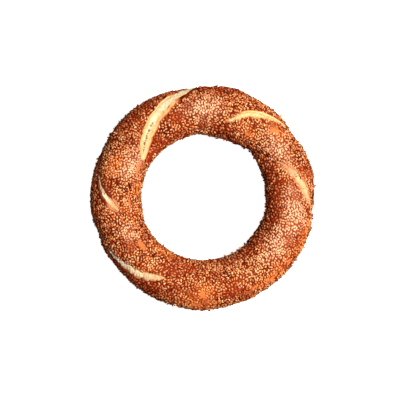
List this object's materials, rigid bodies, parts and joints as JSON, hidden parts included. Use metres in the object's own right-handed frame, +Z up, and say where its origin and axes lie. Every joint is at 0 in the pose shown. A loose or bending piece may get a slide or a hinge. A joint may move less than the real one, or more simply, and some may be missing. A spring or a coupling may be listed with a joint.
{
  "type": "simit",
  "caption": "Ring of bread twisted from two strands, torn open along its seams and covered in sesame, lying flat.",
  "frame": {"origin": "on the surface that the ring lies on, under the middle of its outline", "axes": "+Z up, through the hole; +X towards the soft seam at the right, +Y towards the top as seen from above"},
  "size_m": [0.1632, 0.1634, 0.0296],
  "materials": {
    "crust": "satin",
    "crumb": "matte",
    "sesame": "satin"
  },
  "bodies": {
    "root": {"bread_ring": "crust"}
  },
  "joints": []
}
